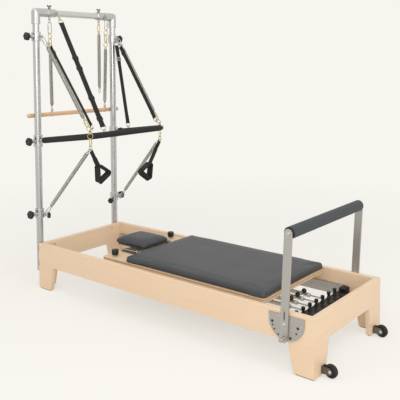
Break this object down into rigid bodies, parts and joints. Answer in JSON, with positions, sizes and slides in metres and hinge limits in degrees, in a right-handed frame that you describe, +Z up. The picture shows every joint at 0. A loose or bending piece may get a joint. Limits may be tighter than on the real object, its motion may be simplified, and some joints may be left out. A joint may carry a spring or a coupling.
{
  "type": "pilates reformer with half tower",
  "caption": "Wooden pilates reformer bed with a padded sliding carriage, a hinged footbar and a steel tower that carries a push-through bar, a roll-down bar, springs, straps and handles.",
  "frame": {"origin": "centre of the footprint on the floor", "axes": "+X towards the foot end along the bed, +Y across the bed, +Z up"},
  "size_m": [2.4912, 0.962, 2.111],
  "materials": {
    "wood": "clear satin lacquer over pale maple",
    "beech": "oiled dowel",
    "foot_rubber": "matte black",
    "track_metal": "brushed",
    "plate_steel": "brushed",
    "tower_steel": "bright satin",
    "spring_steel": "plated wire",
    "zinc": "yellow zinc plated wire",
    "black_plastic": "satin black",
    "webbing": "woven black",
    "grip_foam": "matte foam sleeve",
    "vinyl": "dark grey satin vinyl",
    "bracket_metal": "dark bronze coat"
  },
  "bodies": {
    "frame": {"head_panel": "wood", "foot_panel": "wood", "spring_bar": "black_plastic", "top_tube": "tower_steel", "near_side_rail": "wood", "near_head_foot_pad": "foot_rubber", "near_foot_foot_pad": "foot_rubber", "near_track": "track_metal", "near_quadrant_plate": "plate_steel", "near_wheel_bracket": "bracket_metal", "near_upright": "tower_steel", "near_elbow": "tower_steel", "near_top_collar": "tower_steel", "near_upper_collar": "tower_steel", "near_push_bar_collar": "tower_steel", "near_lower_collar": "tower_steel", "near_upper_spring": "spring_steel", "near_lower_spring": "spring_steel", "near_upper_strap": "webbing", "near_safety_strap": "webbing", "far_side_rail": "wood", "far_head_foot_pad": "foot_rubber", "far_foot_foot_pad": "foot_rubber", "far_track": "track_metal", "far_quadrant_plate": "plate_steel", "far_wheel_bracket": "bracket_metal", "far_upright": "tower_steel", "far_elbow": "tower_steel", "far_top_collar": "tower_steel", "far_upper_collar": "tower_steel", "far_push_bar_collar": "tower_steel", "far_lower_collar": "tower_steel", "far_upper_spring": "spring_steel", "far_lower_spring": "spring_steel", "far_upper_strap": "webbing", "far_safety_strap": "webbing"},
    "carriage": {"carriage_platform": "wood", "carriage_pad": "vinyl", "carriage_springs": "zinc"},
    "head_wheelset": {"head_wheelset": "black_plastic"},
    "foot_wheelset": {"foot_wheelset": "black_plastic"},
    "headrest": {"headrest": "vinyl"},
    "footbar": {"footbar": "plate_steel", "footbar_grip": "grip_foam"},
    "footbar_plunger": {"footbar_plunger": "plate_steel"},
    "push_bar": {"push_through_bar": "grip_foam"},
    "near_handle": {"near_handle": "webbing"},
    "far_handle": {"far_handle": "webbing"},
    "roll_bar_springs": {"near_roll_spring": "spring_steel", "far_roll_spring": "spring_steel"},
    "roll_bar": {"roll_down_bar": "beech"},
    "spare_spring": {"spare_spring": "spring_steel"},
    "near_wheel": {"near_wheel": "foot_rubber"},
    "near_upper_knob": {"near_upper_knob": "black_plastic"},
    "near_push_bar_knob": {"near_push_bar_knob": "black_plastic"},
    "near_lower_knob": {"near_lower_knob": "black_plastic"},
    "far_wheel": {"far_wheel": "foot_rubber"},
    "far_upper_knob": {"far_upper_knob": "black_plastic"},
    "far_push_bar_knob": {"far_push_bar_knob": "black_plastic"},
    "far_lower_knob": {"far_lower_knob": "black_plastic"}
  },
  "joints": [
    {"name": "carriage_slide", "type": "slide", "parent": "frame", "child": "carriage", "axis": [-1, 0, 0], "range_m": [0, 0.47], "stiffness_N_per_m": 250, "springref_m": -0.05, "deforming": ["carriage_springs"]},
    {"name": "head_wheelset_roll", "type": "hinge", "parent": "carriage", "child": "head_wheelset", "pos_m": [-0.3909, 0, 0.2783], "axis": [0, 1, 0], "continuous": true},
    {"name": "foot_wheelset_roll", "type": "hinge", "parent": "carriage", "child": "foot_wheelset", "pos_m": [0.6491, 0, 0.2783], "axis": [0, 1, 0], "continuous": true},
    {"name": "headrest_tilt", "type": "hinge", "parent": "carriage", "child": "headrest", "pos_m": [-0.3539, 0, 0.347], "axis": [0, 1, 0], "range_deg": [0, 35]},
    {"name": "footbar_swing", "type": "hinge", "parent": "frame", "child": "footbar", "pos_m": [0.9781, 0, 0.273], "axis": [0, 1, 0], "range_deg": [-60, 85]},
    {"name": "footbar_plunger_pull", "type": "slide", "parent": "footbar", "child": "footbar_plunger", "axis": [0, -1, 0], "range_m": [0, 0.012], "stiffness_N_per_m": 600, "springref_m": -0.006},
    {"name": "push_bar_swing", "type": "hinge", "parent": "frame", "child": "push_bar", "pos_m": [-1.1346, 0, 1.10961], "axis": [0, -1, 0], "range_deg": [-45, 60], "stiffness_Nm_per_rad": 60, "springref_deg": 11.46, "deforming": ["near_upper_spring", "near_lower_spring", "near_upper_strap", "near_safety_strap", "far_upper_spring", "far_lower_spring", "far_upper_strap", "far_safety_strap"]},
    {"name": "near_handle_swing", "type": "hinge", "parent": "push_bar", "child": "near_handle", "pos_m": [-0.63896, -0.35864, 1.09], "axis": [0, 1, 0], "range_deg": [-45, 45]},
    {"name": "far_handle_swing", "type": "hinge", "parent": "push_bar", "child": "far_handle", "pos_m": [-0.63896, 0.35864, 1.09], "axis": [0, 1, 0], "range_deg": [-45, 45]},
    {"name": "roll_bar_swing", "type": "hinge", "parent": "frame", "child": "roll_bar_springs", "pos_m": [-1.1866, -0.26, 2.005], "axis": [0.0736, 0.9938, 0.0828], "range_deg": [0, 60]},
    {"name": "roll_bar_pull", "type": "slide", "parent": "roll_bar_springs", "child": "roll_bar", "axis": [-0.5, 0, -0.866], "range_m": [0, 0.35], "stiffness_N_per_m": 80, "springref_m": -0.1, "deforming": ["near_roll_spring", "far_roll_spring"]},
    {"name": "spare_spring_swing", "type": "hinge", "parent": "frame", "child": "spare_spring", "pos_m": [-1.1866, 0.236, 2.005], "axis": [0, 1, 0], "range_deg": [-60, 60]},
    {"name": "near_wheel_roll", "type": "hinge", "parent": "frame", "child": "near_wheel", "pos_m": [1.2081, -0.331, 0.04], "axis": [0, 1, 0], "continuous": true},
    {"name": "near_upper_knob_turn", "type": "hinge", "parent": "frame", "child": "near_upper_knob", "pos_m": [-1.1866, -0.385, 1.876], "axis": [0, -1, 0], "continuous": true},
    {"name": "near_push_bar_knob_turn", "type": "hinge", "parent": "frame", "child": "near_push_bar_knob", "pos_m": [-1.1866, -0.385, 1.103], "axis": [0, -1, 0], "continuous": true},
    {"name": "near_lower_knob_turn", "type": "hinge", "parent": "frame", "child": "near_lower_knob", "pos_m": [-1.1866, -0.385, 0.558], "axis": [0, -1, 0], "continuous": true},
    {"name": "far_wheel_roll", "type": "hinge", "parent": "frame", "child": "far_wheel", "pos_m": [1.2081, 0.331, 0.04], "axis": [0, 1, 0], "continuous": true},
    {"name": "far_upper_knob_turn", "type": "hinge", "parent": "frame", "child": "far_upper_knob", "pos_m": [-1.1866, 0.385, 1.876], "axis": [0, 1, 0], "continuous": true},
    {"name": "far_push_bar_knob_turn", "type": "hinge", "parent": "frame", "child": "far_push_bar_knob", "pos_m": [-1.1866, 0.385, 1.103], "axis": [0, 1, 0], "continuous": true},
    {"name": "far_lower_knob_turn", "type": "hinge", "parent": "frame", "child": "far_lower_knob", "pos_m": [-1.1866, 0.385, 0.558], "axis": [0, 1, 0], "continuous": true}
  ]
}
